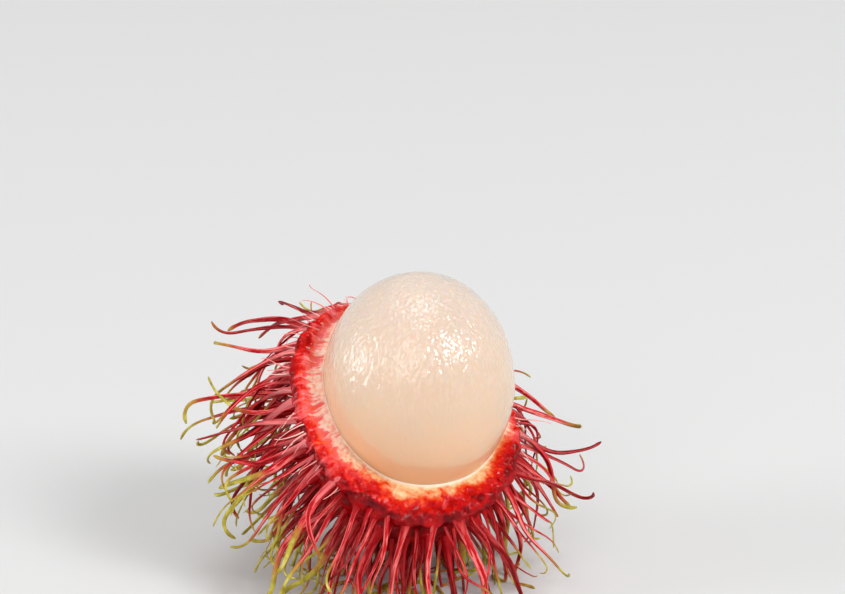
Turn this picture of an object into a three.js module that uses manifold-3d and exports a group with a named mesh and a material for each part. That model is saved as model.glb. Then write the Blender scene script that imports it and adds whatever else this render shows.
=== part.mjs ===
// A half-peeled rambutan, standing on its own spines. A cup of red rind, grown all over with soft fleshy
// spines, holds the pale aril that stands out of its open mouth.
// Millimetres, +Z up. The origin is on the surface that the fruit stands on, under its middle.
import * as THREE from "three";
import { mergeVertices } from "three/addons/utils/BufferGeometryUtils.js";
import Module from "manifold-3d";

const wasm = await Module();
wasm.setup();

// ---- Driving dimensions -------------------------------------------------------------------

const degrees = THREE.MathUtils.degToRad;

// The fruit is an ovoid, round about its long axis. It doesn't touch the surface itself: the
// spines under its stem end, which its weight bends flat, hold it up.
const FRUIT_HALF_WIDTH = 17.1;
const FRUIT_HALF_LENGTH = 23.3;
const LONG_AXIS_LEAN = degrees(4.4); // towards +Y
const REST_HEIGHT = 7.5; // of the ovoid's lowest point

// The aril is a smaller ovoid along the same axis, set a little off the fruit's own centre.
const ARIL_HALF_WIDTH = 14.3;
const ARIL_HALF_LENGTH = 16.6;
const ARIL_OFFSET = [1.0, 0.2, 0.9];
const ARIL_GAP = 0.35; // between the aril and the cup that holds it

// The rind ends at a torn edge, the mouth, which faces forwards, upwards and to +X.
const MOUTH_ELEVATION = degrees(51);
const MOUTH_AZIMUTH = degrees(32); // from -Y towards +X
const MOUTH_OFFSET = -4.5; // of the mouth's plane from the aril's centre
const MOUTH_BEND = 0.85; // how far that plane is bent like a saddle
const MOUTH_BEND_AZIMUTH = degrees(128);
const MOUTH_WAVE = 0.3; // how far the tear wanders from it
const RIM_CROWN = 0.35; // how far the torn face stands proud in its middle

// The spines grow from places spread evenly over the fruit, and those on the cup are kept.
const SPINE_PLACES = 330;
const SPINE_SEED = 20917;
const PLACE_JITTER = 0.055; // radians
const SPINE_LENGTH = [14, 22];
const SPINE_RADIUS = [0.46, 0.72]; // just above the root
const SPLAY = 0.17; // how far a spine leans away from the rind's normal at its root
const LEAN_BACK = 0.3; // and how far away from the mouth
const DROOP = [0.01, 0.065]; // how fast it sinks, per millimetre of its length
const CURL = 0.03; // how fast it bends any other way, per millimetre
const SWAY = 0.1; // how fast it bends one way, then back, then that way again
const HOOK = 0.75; // how fast its tip bends besides
const HOOK_START = 0.75; // share of the length after which the tip bends so
const TIP_SHARE = 0.55; // the tip's radius as a share of the shaft's
const ROOT_FLARE = 0.8; // how much wider the root is than the shaft
const FLARE_REACH = 0.9; // how soon the flare dies away
const ROOT_SINK = 1.3; // how deep the root is set in the rind
const RIM_MARGIN = 0.6; // no root is nearer the torn edge than this
const PRESSED_SHARE = 0.4; // height of a spine's middle on the surface, over its radius
const RIND_GAP = 0.25; // between a drooping spine and the rind
const MIDDLE_ASIDE = 4; // how far from the origin the spine that crosses it comes down

// Facets.
const AROUND = 44;
const OUTER_ROWS = 13;
const INNER_ROWS = 8;
const ARIL_AROUND = 36;
const ARIL_ROWS = 20;
const SPINE_STEPS = 24; // fine steps that a spine's line is worked out in
const RING_STEPS = [0, 3, 7, 12, 16, 20, 23]; // the steps with a ring of points round them
const SPINE_SIDES = 3;

// ---- Directions and centres ---------------------------------------------------------------

const vector = (x, y, z) => new THREE.Vector3(x, y, z);
const UP = vector(0, 0, 1);

const longAxis = vector(0, Math.sin(LONG_AXIS_LEAN), Math.cos(LONG_AXIS_LEAN));
const mouthAxis = vector(
  Math.cos(MOUTH_ELEVATION) * Math.sin(MOUTH_AZIMUTH),
  -Math.cos(MOUTH_ELEVATION) * Math.cos(MOUTH_AZIMUTH),
  Math.sin(MOUTH_ELEVATION),
);
const mouthRight = UP.clone().cross(mouthAxis).normalize();
const mouthUp = mouthAxis.clone().cross(mouthRight);

// The centre of an ovoid whose lowest point is straight above the origin.
function restingCentre() {
  const stretch = FRUIT_HALF_LENGTH ** 2 - FRUIT_HALF_WIDTH ** 2;
  const reach = UP.clone().multiplyScalar(FRUIT_HALF_WIDTH ** 2);
  reach.addScaledVector(longAxis, stretch * longAxis.z);
  reach.divideScalar(Math.sqrt(reach.z));
  return reach.addScaledVector(UP, REST_HEIGHT);
}

const fruitCentre = restingCentre();
const arilCentre = fruitCentre.clone().add(vector(...ARIL_OFFSET));

// A unit direction: polar angle from the middle of the cup's floor, azimuth round the mouth.
function direction(polar, azimuth) {
  const side = Math.sin(polar);
  return vector(0, 0, 0)
    .addScaledVector(mouthAxis, -Math.cos(polar))
    .addScaledVector(mouthRight, side * Math.cos(azimuth))
    .addScaledVector(mouthUp, side * Math.sin(azimuth));
}

// ---- Ovoids -------------------------------------------------------------------------------

const ovoid = (centre, halfWidth, halfLength) => ({ centre, halfWidth, halfLength });
const fruit = ovoid(fruitCentre, FRUIT_HALF_WIDTH, FRUIT_HALF_LENGTH);
const aril = ovoid(arilCentre, ARIL_HALF_WIDTH, ARIL_HALF_LENGTH);
const cavity = ovoid(arilCentre, ARIL_HALF_WIDTH + ARIL_GAP, ARIL_HALF_LENGTH + ARIL_GAP);

// How far an offset from an ovoid's centre goes, as a share of the way to its surface.
function levelIn({ halfWidth, halfLength }, offset) {
  const along = offset.dot(longAxis);
  const across2 = Math.max(0, offset.lengthSq() - along ** 2);
  return Math.sqrt(across2 / halfWidth ** 2 + along ** 2 / halfLength ** 2);
}

function surfacePoint(body, towards) {
  return body.centre.clone().addScaledVector(towards, 1 / levelIn(body, towards));
}

function surfaceNormal({ centre, halfWidth, halfLength }, point) {
  const offset = point.clone().sub(centre);
  const along = offset.dot(longAxis);
  const stretch = 1 / halfLength ** 2 - 1 / halfWidth ** 2;
  return offset
    .divideScalar(halfWidth ** 2)
    .addScaledVector(longAxis, along * stretch)
    .normalize();
}

// ---- The mouth ----------------------------------------------------------------------------

// Where the torn edge lies, measured along the mouth's axis from the aril's centre.
function edgeOffset(azimuth) {
  const bend = MOUTH_BEND * Math.cos(2 * (azimuth - MOUTH_BEND_AZIMUTH));
  const wave = 0.6 * Math.sin(3 * azimuth + 1) + 0.4 * Math.sin(7 * azimuth + 0.5);
  return MOUTH_OFFSET + bend + MOUTH_WAVE * wave;
}

// How far a point stands out of the mouth: negative within the cup.
function beyondMouth(point, azimuth) {
  return point.clone().sub(arilCentre).dot(mouthAxis) - edgeOffset(azimuth);
}

// The polar angle at which an ovoid's surface meets the torn edge.
function polarAtMouth(body, azimuth) {
  let low = 0;
  let high = Math.PI;
  for (let i = 0; i < 40; i++) {
    const middle = (low + high) / 2;
    const point = surfacePoint(body, direction(middle, azimuth));
    if (beyondMouth(point, azimuth) < 0) low = middle;
    else high = middle;
  }
  return low;
}

// ---- Meshes and solids --------------------------------------------------------------------

// A closed mesh from one end point, over rings of points, to the other end point.
function skin(firstEnd, rings, lastEnd) {
  const around = rings[0].length;
  const points = [firstEnd, ...rings.flat(), lastEnd];
  const last = points.length - 1;
  const faces = [];
  const at = (row, i) => 1 + row * around + (i % around);
  for (let i = 0; i < around; i++) {
    faces.push(0, at(0, i + 1), at(0, i));
    for (let row = 0; row + 1 < rings.length; row++) {
      faces.push(at(row, i), at(row, i + 1), at(row + 1, i + 1));
      faces.push(at(row, i), at(row + 1, i + 1), at(row + 1, i));
    }
    faces.push(last, at(rings.length - 1, i), at(rings.length - 1, i + 1));
  }
  const geometry = new THREE.BufferGeometry().setFromPoints(points);
  geometry.setIndex(faces);
  return geometry;
}

// One ring of points, a point for each angle in turn.
function ring(around, place) {
  return Array.from({ length: around }, (_, i) => place((2 * Math.PI * i) / around));
}

function toSolid(geometry) {
  return new wasm.Manifold(
    new wasm.Mesh({
      numProp: 3,
      vertProperties: Float32Array.from(geometry.getAttribute("position").array),
      triVerts: Uint32Array.from(geometry.index.array),
    }),
  );
}

function toGeometry(solid) {
  const mesh = solid.getMesh();
  const geometry = new THREE.BufferGeometry();
  geometry.setAttribute("position", new THREE.BufferAttribute(mesh.vertProperties, 3));
  geometry.setIndex(new THREE.BufferAttribute(mesh.triVerts, 1));
  geometry.computeVertexNormals();
  return geometry;
}

// ---- The rind's cup -----------------------------------------------------------------------

function cupSolid() {
  const onto = (body, share) => (azimuth) =>
    surfacePoint(body, direction(share * polarAtMouth(body, azimuth), azimuth));
  const rings = [];
  for (let row = 1; row <= OUTER_ROWS; row++) {
    rings.push(ring(AROUND, onto(fruit, row / OUTER_ROWS)));
  }
  const outerEdge = rings.at(-1);
  const innerEdge = ring(AROUND, onto(cavity, 1));
  const crown = outerEdge.map((point, i) =>
    point.clone().lerp(innerEdge[i], 0.45).addScaledVector(mouthAxis, RIM_CROWN),
  );
  rings.push(crown, innerEdge);
  for (let row = INNER_ROWS - 1; row >= 1; row--) {
    rings.push(ring(AROUND, onto(cavity, row / INNER_ROWS)));
  }
  const floor = direction(0, 0);
  return toSolid(skin(surfacePoint(fruit, floor), rings, surfacePoint(cavity, floor)));
}

// ---- The spines ---------------------------------------------------------------------------

// Repeatable draws between two numbers, from the minimal standard generator.
function lottery(seed) {
  let state = seed;
  return (low, high) => {
    state = (state * 16807) % 2147483647;
    return low + ((high - low) * state) / 2147483647;
  };
}

// Each spine's root and habit. Every place makes the same draws, whether it is kept or not.
function growSpines() {
  const goldenAngle = Math.PI * (3 - Math.sqrt(5));
  const draw = lottery(SPINE_SEED);
  const drawVector = (size) => vector(draw(-size, size), draw(-size, size), draw(-size, size));
  const spines = [];
  for (let i = 0; i < SPINE_PLACES; i++) {
    const evenPolar = Math.acos(1 - (2 * i + 1) / SPINE_PLACES);
    const polar = evenPolar + draw(-PLACE_JITTER, PLACE_JITTER);
    const azimuth = i * goldenAngle + draw(-PLACE_JITTER, PLACE_JITTER) / Math.sin(evenPolar);
    const root = surfacePoint(fruit, direction(polar, azimuth));
    const spine = {
      root,
      length: draw(...SPINE_LENGTH),
      radius: draw(...SPINE_RADIUS),
      heading: rootHeading(root).add(drawVector(SPLAY)),
      droop: draw(...DROOP),
      curl: drawVector(CURL),
      sway: drawVector(SWAY),
      hook: drawVector(HOOK),
    };
    if (beyondMouth(root, azimuth) < -RIM_MARGIN) spines.push(spine);
  }
  return spines;
}

// The way a spine sets out from its root.
function rootHeading(root) {
  return surfaceNormal(fruit, root).addScaledVector(mouthAxis, -LEAN_BACK);
}

// The spine that comes straight down beside the origin and is bent flat across it.
function middleSpine() {
  const still = vector(0, 0, 0);
  return {
    root: surfacePoint(fruit, vector(-MIDDLE_ASIDE, 0, 0).sub(fruitCentre).normalize()),
    length: SPINE_LENGTH[0],
    radius: SPINE_RADIUS[1],
    heading: UP.clone().negate(),
    droop: 0,
    curl: vector(CURL, 0, 0),
    sway: still,
    hook: still,
  };
}

// Moves a point out of the fruit's ovoid, to stand clear of it by a gap.
function keepClear(point, gap) {
  const grown = ovoid(fruit.centre, fruit.halfWidth + gap, fruit.halfLength + gap);
  const offset = point.clone().sub(fruit.centre);
  const level = levelIn(grown, offset);
  if (level < 1) point.copy(fruit.centre).addScaledVector(offset, 1 / level);
}

// A spine's line: out from its root, then bent by its weight, its own curl and sway, and the
// hook at its tip. It never enters the fruit, and where it meets the surface it lies along it.
function spineLine(spine) {
  const step = spine.length / SPINE_STEPS;
  const heading = spine.heading.clone().normalize();
  const line = [spine.root];
  for (let i = 1; i <= SPINE_STEPS; i++) {
    const share = i / SPINE_STEPS;
    const hooking = Math.max(0, share - HOOK_START) / (1 - HOOK_START);
    heading
      .addScaledVector(UP, -spine.droop * step)
      .addScaledVector(spine.curl, step)
      .addScaledVector(spine.sway, step * Math.cos(2 * Math.PI * share))
      .addScaledVector(spine.hook, step * hooking)
      .normalize();
    const next = line.at(-1).clone().addScaledVector(heading, step);
    keepClear(next, Math.min(share * spine.length, spine.radius + RIND_GAP));
    next.z = Math.max(next.z, PRESSED_SHARE * spineRadius(spine, share));
    heading.copy(next).sub(line.at(-1)).normalize();
    line.push(next);
  }
  return line;
}

function spineRadius(spine, share) {
  const flare = ROOT_FLARE * Math.exp((-share * spine.length) / FLARE_REACH);
  return spine.radius * (1 - (1 - TIP_SHARE) * share + flare);
}

// A spine's solid. Its sections have a corner on the upper side, so it lies on a flat side.
function spineSolid(spine) {
  const line = spineLine(spine);
  const normal = surfaceNormal(fruit, spine.root);
  const sunk = spine.root.clone().addScaledVector(normal, -ROOT_SINK);
  const sideways = UP.clone().cross(line.at(-1).clone().sub(spine.root));
  const side = normal.clone().cross(sideways).normalize();
  const section = (centre, along, share) => {
    side.addScaledVector(along, -side.dot(along)).normalize();
    const across = along.clone().cross(side);
    const radius = spineRadius(spine, share);
    return ring(SPINE_SIDES, (angle) =>
      centre
        .clone()
        .addScaledVector(side, radius * Math.cos(angle))
        .addScaledVector(across, radius * Math.sin(angle)),
    );
  };
  const rings = [section(sunk, normal, 0)];
  RING_STEPS.forEach((step, i) => {
    const behind = line[RING_STEPS[i - 1] ?? 0];
    const ahead = line[RING_STEPS[i + 1] ?? SPINE_STEPS];
    rings.push(section(line[step], ahead.clone().sub(behind).normalize(), step / SPINE_STEPS));
  });
  return toSolid(skin(sunk, rings, line.at(-1)));
}

// ---- The two pieces -----------------------------------------------------------------------

// The half-space below z = 0, as a block far wider than the fruit.
function belowGround() {
  const block = new THREE.BoxGeometry(200, 200, 60).translate(0, 0, -30);
  block.deleteAttribute("normal");
  block.deleteAttribute("uv");
  return toSolid(mergeVertices(block));
}

function rindGeometry() {
  const spines = [...growSpines(), middleSpine()].map(spineSolid);
  const grown = wasm.Manifold.union([cupSolid(), ...spines]);
  return toGeometry(grown.subtract(belowGround()));
}

function arilGeometry() {
  const onto = (share) => (azimuth) => surfacePoint(aril, direction(share * Math.PI, azimuth));
  const rings = [];
  for (let row = 1; row < ARIL_ROWS; row++) {
    rings.push(ring(ARIL_AROUND, onto(row / ARIL_ROWS)));
  }
  return skin(onto(0)(0), rings, onto(1)(0));
}

function piece(name, geometry, material) {
  const mesh = new THREE.Mesh(geometry, new THREE.MeshStandardMaterial(material));
  mesh.name = name;
  return mesh;
}

const rambutan = new THREE.Group();
rambutan.name = "rambutan";
rambutan.add(piece("rind", rindGeometry(), { color: 0xb3141c, roughness: 0.6, metalness: 0 }));
rambutan.add(piece("aril", arilGeometry(), { color: 0xf1dcc4, roughness: 0.25, metalness: 0 }));

export default rambutan;
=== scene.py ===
import math

import bpy
import numpy as np
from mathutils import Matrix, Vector


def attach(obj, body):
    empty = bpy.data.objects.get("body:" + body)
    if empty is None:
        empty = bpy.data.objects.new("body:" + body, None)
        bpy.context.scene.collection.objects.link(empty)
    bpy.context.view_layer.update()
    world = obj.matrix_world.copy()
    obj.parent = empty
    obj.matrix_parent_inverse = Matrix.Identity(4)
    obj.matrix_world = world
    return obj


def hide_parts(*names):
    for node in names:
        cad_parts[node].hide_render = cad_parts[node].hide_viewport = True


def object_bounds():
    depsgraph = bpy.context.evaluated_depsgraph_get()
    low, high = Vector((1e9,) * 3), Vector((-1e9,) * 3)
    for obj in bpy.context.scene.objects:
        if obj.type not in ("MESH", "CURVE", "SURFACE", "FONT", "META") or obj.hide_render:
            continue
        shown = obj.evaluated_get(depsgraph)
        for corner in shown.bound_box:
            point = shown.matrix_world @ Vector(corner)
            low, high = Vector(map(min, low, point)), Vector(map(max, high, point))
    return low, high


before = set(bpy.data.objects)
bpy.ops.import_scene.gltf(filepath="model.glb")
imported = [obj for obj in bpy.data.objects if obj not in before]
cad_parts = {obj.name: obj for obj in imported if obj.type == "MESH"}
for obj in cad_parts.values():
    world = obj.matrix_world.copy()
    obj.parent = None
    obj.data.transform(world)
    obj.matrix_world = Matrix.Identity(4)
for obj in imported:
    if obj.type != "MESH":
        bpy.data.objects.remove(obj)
cad_low, cad_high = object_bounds()

# A half-peeled rambutan. The shapes are worked out in millimetres, in the CAD model's frame,
# from the same driving dimensions and draws as its source, and scaled to metres at the end.
MM = 0.001

# ---- Driving dimensions, as in the CAD model -------------------------------------------------

FRUIT_HALF = (17.1, 23.3)  # half width, half length
LONG_AXIS_LEAN = math.radians(4.4)  # towards +Y
REST_HEIGHT = 7.5  # of the fruit's lowest point, without its spines
ARIL_HALF = (14.3, 16.6)
ARIL_OFFSET = (1.0, 0.2, 0.9)  # from the fruit's centre
ARIL_GAP = 0.35  # between the aril and the cup that holds it

MOUTH_ELEVATION = math.radians(51)
MOUTH_AZIMUTH = math.radians(32)  # from -Y towards +X
MOUTH_OFFSET = -4.5  # of the mouth's plane from the aril's centre
MOUTH_BEND = 0.85  # how far that plane is bent like a saddle
MOUTH_BEND_AZIMUTH = math.radians(128)
MOUTH_WAVE = 0.3  # how far the tear wanders from it

SPINE_PLACES = 330
SPINE_SEED = 20917
PLACE_JITTER = 0.055  # radians
SPINE_LENGTH = (14, 22)
SPINE_RADIUS = (0.46, 0.72)  # just above the root
SPLAY = 0.17  # how far a spine leans away from the rind's normal at its root
LEAN_BACK = 0.3  # and how far away from the mouth
DROOP = (0.01, 0.065)  # how fast it sinks, per millimetre of its length
CURL = 0.03  # how fast it bends any other way, per millimetre
SWAY = 0.1  # how fast it bends one way, then back, then that way again
HOOK = 0.75  # how fast its tip bends besides
HOOK_START = 0.75  # share of the length after which the tip bends so
TIP_SHARE = 0.55  # the tip's radius as a share of the shaft's
FLARE_REACH = 0.9  # how soon the root's flare dies away
ROOT_SINK = 1.3  # how deep the root is set in the rind
RIM_MARGIN = 0.6  # no root is nearer the torn edge than this
PRESSED_SHARE = 0.4  # height of a spine's middle on the surface, over its radius
RIND_GAP = 0.25  # between a drooping spine and the rind
MIDDLE_ASIDE = 4  # how far from the origin the spine that crosses it comes down
SPINE_STEPS = 24  # steps that a spine's line is worked out in

# ---- Dimensions of the finish ----------------------------------------------------------------

CUP_AROUND = 540  # points in a row
CUP_OUTER_ROWS = 120
CUP_RIM_ROWS = 34
CUP_INNER_ROWS = 8
ARIL_AROUND = 300
ARIL_ROWS = 180
SPINE_SIDES = 9
ROOT_FLARE = 0.5  # less than the CAD model's, since each root stands on a mound of its own

# The spines that the CAD model leaves out: places tried, least distance between two roots,
# and thickness, length and bends over those of the spines that it has.
BETWEEN = {
    "places": 1500, "seed": 40591, "spacing": 1.9,
    "slimness": 0.84, "shortness": 0.9, "wildness": 1.6,
}
FINE = {
    "places": 2600, "seed": 77351, "spacing": 1.3,
    "slimness": 0.54, "shortness": 0.87, "wildness": 1.8,
}
OVERHANG = 0.8  # how far they may reach out of the CAD model's bounds
BARENESS = 0.5  # how much further apart they are near the edge at the front
BARE_AZIMUTH = math.radians(258)
BARE_BAND = (0.3, 0.9)  # of the cosine of the azimuth from there
BARE_DEPTH = (6, 13)  # how far from the edge this fades
SHADE_DEPTH = (2, 15)  # how far from the edge the spines are painted darker, as painted shade
PALE_DEPTH = (0.8, 4.0)  # how far from a frayed edge their roots stay pale

# The thin threads that the tear has left standing along the edge.
FIBRES = 150  # places where one may stand
FIBRE_SEED = 61261
FIBRE_CHANCE = 0.06  # of a place having one where the edge is clean
FIBRE_FRAY_CHANCE = 0.8  # and how much more where it is frayed
FIBRE_LENGTH = (1.5, 6.5)
FIBRE_RADIUS = (0.07, 0.15)
FIBRE_DEPTH = (0.0, 0.05)  # radians from the edge
FIBRE_TILT = (-0.7, 0.0)  # along the mouth's axis, so all lean back over the skin
FIBRE_SPLAY = 0.3
FIBRE_DROOP = (0.0, 0.09)
FIBRE_CURL = 0.16
FIBRE_SWAY = 0.2

# The edge is frayed along a wide stretch and, less so, at a small patch. Each band is of the
# cosine of the azimuth from the middle of the stretch.
FRAY_AZIMUTH = math.radians(130)
FRAY_BAND = (-0.24, 0.6)
FRAY_PATCH_AZIMUTH = math.radians(333)
FRAY_PATCH_BAND = (0.955, 1.0)
FRAY_PATCH_SHARE = 0.8

UP = np.array([0.0, 0.0, 1.0])


def unit(v):
    return v / np.linalg.norm(v, axis=-1, keepdims=True)


def smooth_step(low, high, value):
    t = np.clip((value - low) / (high - low), 0, 1)
    return t * t * (3 - 2 * t)


def band(rise, fall, value):
    """Up from 0 to 1 over the rise, and down to 0 again over the fall."""
    return smooth_step(*rise, value) * (1 - smooth_step(*fall, value))


LONG_AXIS = np.array([0.0, math.sin(LONG_AXIS_LEAN), math.cos(LONG_AXIS_LEAN)])
MOUTH_AXIS = np.array([
    math.cos(MOUTH_ELEVATION) * math.sin(MOUTH_AZIMUTH),
    -math.cos(MOUTH_ELEVATION) * math.cos(MOUTH_AZIMUTH),
    math.sin(MOUTH_ELEVATION),
])
MOUTH_RIGHT = unit(np.cross(UP, MOUTH_AXIS))
MOUTH_UP = np.cross(MOUTH_AXIS, MOUTH_RIGHT)


# ---- Ovoids and the mouth --------------------------------------------------------------------

HALVINGS = 40


def level_in(half, offset):
    """How far an offset from an ovoid's centre goes, as a share of the way to its surface."""
    along = offset @ LONG_AXIS
    across2 = np.maximum(0, (offset**2).sum(-1) - along**2)
    return np.sqrt(across2 / half[0] ** 2 + along**2 / half[1] ** 2)


def resting_centre():
    """The fruit's centre, with its lowest point straight above the origin."""
    stretch = FRUIT_HALF[1] ** 2 - FRUIT_HALF[0] ** 2
    reach = UP * FRUIT_HALF[0] ** 2 + LONG_AXIS * stretch * LONG_AXIS[2]
    return reach / math.sqrt(reach[2]) + UP * REST_HEIGHT


FRUIT_CENTRE = resting_centre()
ARIL_CENTRE = FRUIT_CENTRE + np.array(ARIL_OFFSET)
FRUIT = (FRUIT_CENTRE, FRUIT_HALF)
ARIL = (ARIL_CENTRE, ARIL_HALF)
CAVITY = (ARIL_CENTRE, (ARIL_HALF[0] + ARIL_GAP, ARIL_HALF[1] + ARIL_GAP))


def direction(polar, azimuth):
    """Unit directions: polar from the middle of the cup's floor, azimuth round the mouth."""
    polar, azimuth = np.broadcast_arrays(polar, azimuth)
    return (
        -np.cos(polar)[..., None] * MOUTH_AXIS
        + (np.sin(polar) * np.cos(azimuth))[..., None] * MOUTH_RIGHT
        + (np.sin(polar) * np.sin(azimuth))[..., None] * MOUTH_UP
    )


def surface_point(body, towards):
    centre, half = body
    return centre + towards / level_in(half, towards)[..., None]


def surface_normal(body, point):
    centre, half = body
    offset = point - centre
    along = (offset @ LONG_AXIS)[..., None]
    stretch = 1 / half[1] ** 2 - 1 / half[0] ** 2
    return unit(offset / half[0] ** 2 + along * stretch * LONG_AXIS)


def edge_offset(azimuth):
    bend = MOUTH_BEND * np.cos(2 * (azimuth - MOUTH_BEND_AZIMUTH))
    wave = 0.6 * np.sin(3 * azimuth + 1) + 0.4 * np.sin(7 * azimuth + 0.5)
    return MOUTH_OFFSET + bend + MOUTH_WAVE * wave


def beyond_mouth(point, azimuth):
    return (point - ARIL_CENTRE) @ MOUTH_AXIS - edge_offset(azimuth)


def fray(azimuth):
    """How far the torn edge is frayed, from 0 where it is clean to 1."""
    wide = smooth_step(*FRAY_BAND, np.cos(azimuth - FRAY_AZIMUTH))
    patch = FRAY_PATCH_SHARE * smooth_step(*FRAY_PATCH_BAND, np.cos(azimuth - FRAY_PATCH_AZIMUTH))
    return np.maximum(wide, patch)


def polar_at_mouth(body, azimuth):
    """Where the mouth cuts an ovoid, found by halving."""
    low = np.zeros_like(azimuth)
    high = np.full_like(azimuth, math.pi)
    for _ in range(HALVINGS):
        middle = (low + high) / 2
        within = beyond_mouth(surface_point(body, direction(middle, azimuth)), azimuth) < 0
        low = np.where(within, middle, low)
        high = np.where(within, high, middle)
    return low


# ---- Noise -----------------------------------------------------------------------------------

OCTAVE_SHIFT = 17.3  # keeps the cells of two octaves from lining up


def lattice_value(cell, seed):
    """A repeatable number from -1 to 1 for each whole-numbered cell, by a spatial hash."""
    mixed = seed * 2654435
    for axis, prime in enumerate((73856093, 19349663, 83492791)):
        mixed = mixed ^ cell[..., axis] * prime
    mixed = (mixed ^ (mixed >> 13)) * 1274126177 & 0x7FFFFFFF
    return (mixed ^ (mixed >> 16)) / 0x3FFFFFFF - 1.0


def noise(points, scale, seed, octaves=1):
    """Smooth noise over points in millimetres, with features about `scale` apart."""
    total = np.zeros(points.shape[:-1])
    weight = 1.0
    for octave in range(octaves):
        place = points * (2**octave / scale) + OCTAVE_SHIFT * octave
        cell = np.floor(place).astype(np.int64)
        part = place - cell
        part = part * part * (3 - 2 * part)
        value = np.zeros(points.shape[:-1])
        for corner in np.ndindex(2, 2, 2):
            share = np.prod(np.where(np.array(corner) == 1, part, 1 - part), axis=-1)
            value += share * lattice_value(cell + np.array(corner), seed + octave)
        total += weight * value
        weight /= 2
    return total


# ---- The spines' lines -----------------------------------------------------------------------

def lottery(seed):
    """Repeatable draws between two numbers, from the minimal standard generator."""
    state = seed

    def draw(low, high):
        nonlocal state
        state = (state * 16807) % 2147483647
        return low + (high - low) * state / 2147483647

    return draw


def draw_vector(draw, size):
    return np.array([draw(-size, size) for _ in range(3)])


def grow_spines(places, seed):
    """Each spine's root and habit, with the same draws as in the CAD model."""
    golden_angle = math.pi * (3 - math.sqrt(5))
    draw = lottery(seed)
    spines = []
    for i in range(places):
        even_polar = math.acos(1 - (2 * i + 1) / places)
        polar = even_polar + draw(-PLACE_JITTER, PLACE_JITTER)
        azimuth = i * golden_angle + draw(-PLACE_JITTER, PLACE_JITTER) / math.sin(even_polar)
        root = surface_point(FRUIT, direction(polar, azimuth))
        straight = surface_normal(FRUIT, root) - LEAN_BACK * MOUTH_AXIS
        spine = {
            "root": root,
            "length": draw(*SPINE_LENGTH),
            "radius": draw(*SPINE_RADIUS),
            "heading": straight + draw_vector(draw, SPLAY),
            "droop": draw(*DROOP),
            "curl": draw_vector(draw, CURL),
            "sway": draw_vector(draw, SWAY),
            "hook": draw_vector(draw, HOOK),
        }
        depth = -beyond_mouth(root, azimuth)
        spine["shade"] = smooth_step(*SHADE_DEPTH, depth)
        spine["pale"] = fray(azimuth) * (1 - smooth_step(*PALE_DEPTH, depth))
        spine["bare"] = smooth_step(*BARE_BAND, math.cos(azimuth - BARE_AZIMUTH))
        spine["bare"] *= 1 - smooth_step(*BARE_DEPTH, depth)
        if depth > RIM_MARGIN:
            spines.append(spine)
    return spines


def middle_spine():
    """The spine that comes straight down beside the origin and is bent flat across it."""
    still = np.zeros(3)
    return {
        "root": surface_point(FRUIT, unit(np.array([-MIDDLE_ASIDE, 0, 0]) - FRUIT_CENTRE)),
        "length": SPINE_LENGTH[0],
        "radius": SPINE_RADIUS[1],
        "heading": -UP,
        "droop": 0,
        "curl": np.array([CURL, 0, 0]),
        "sway": still,
        "hook": still,
        "shade": 1,
        "pale": 0,
    }


def within_cad_box(spine):
    """Whether a spine stays inside the CAD model's bounds, but for a small overhang."""
    line = spine_line(spine) * MM
    overhang = OVERHANG * MM
    above_low = line > np.array(cad_low) - overhang
    below_high = line < np.array(cad_high) + overhang
    return bool(np.all(above_low & below_high))


def grow_between(grown, places, seed, spacing, slimness, shortness, wildness):
    """More spines, in the gaps between those that have grown."""
    chosen = []
    for spine in grow_spines(places, seed):
        roots = np.array([s["root"] for s in grown + chosen])
        gap = np.linalg.norm(roots - spine["root"], axis=1).min()
        if gap > spacing * (1 + BARENESS * spine["bare"]):
            spine["radius"] *= slimness
            spine["length"] *= shortness
            for bend in ("droop", "curl", "sway", "hook"):
                spine[bend] = spine[bend] * wildness
            if within_cad_box(spine):
                chosen.append(spine)
    return chosen


def grow_fibres():
    """Thin threads that the tear has left standing, most of them where the edge is frayed."""
    draw = lottery(FIBRE_SEED)
    fibres = []
    for i in range(FIBRES):
        azimuth = np.array(2 * math.pi * (i + draw(-0.5, 0.5)) / FIBRES)
        edge = polar_at_mouth(FRUIT, azimuth)
        root = surface_point(FRUIT, direction(edge - draw(*FIBRE_DEPTH), azimuth))
        away = unit(root - ARIL_CENTRE - ((root - ARIL_CENTRE) @ MOUTH_AXIS) * MOUTH_AXIS)
        fibre = {
            "root": root,
            "length": draw(*FIBRE_LENGTH),
            "radius": draw(*FIBRE_RADIUS),
            "heading": away + draw(*FIBRE_TILT) * MOUTH_AXIS + draw_vector(draw, FIBRE_SPLAY),
            "droop": draw(*FIBRE_DROOP),
            "curl": draw_vector(draw, FIBRE_CURL),
            "sway": draw_vector(draw, FIBRE_SWAY),
            "hook": draw_vector(draw, HOOK),
            "shade": 0,
            "pale": 1,
        }
        if draw(0.0, 1.0) < FIBRE_CHANCE + FIBRE_FRAY_CHANCE * fray(azimuth):
            fibres.append(fibre)
    return fibres


def keep_clear(point, gap):
    """The point, or the nearest one above it that is clear of the fruit by a gap."""
    offset = point - FRUIT_CENTRE
    level = level_in((FRUIT_HALF[0] + gap, FRUIT_HALF[1] + gap), offset)
    return FRUIT_CENTRE + offset / level if level < 1 else point


def spine_radius(spine, share):
    flare = ROOT_FLARE * np.exp(-share * spine["length"] / FLARE_REACH)
    return spine["radius"] * (1 - (1 - TIP_SHARE) * share + flare)


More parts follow.
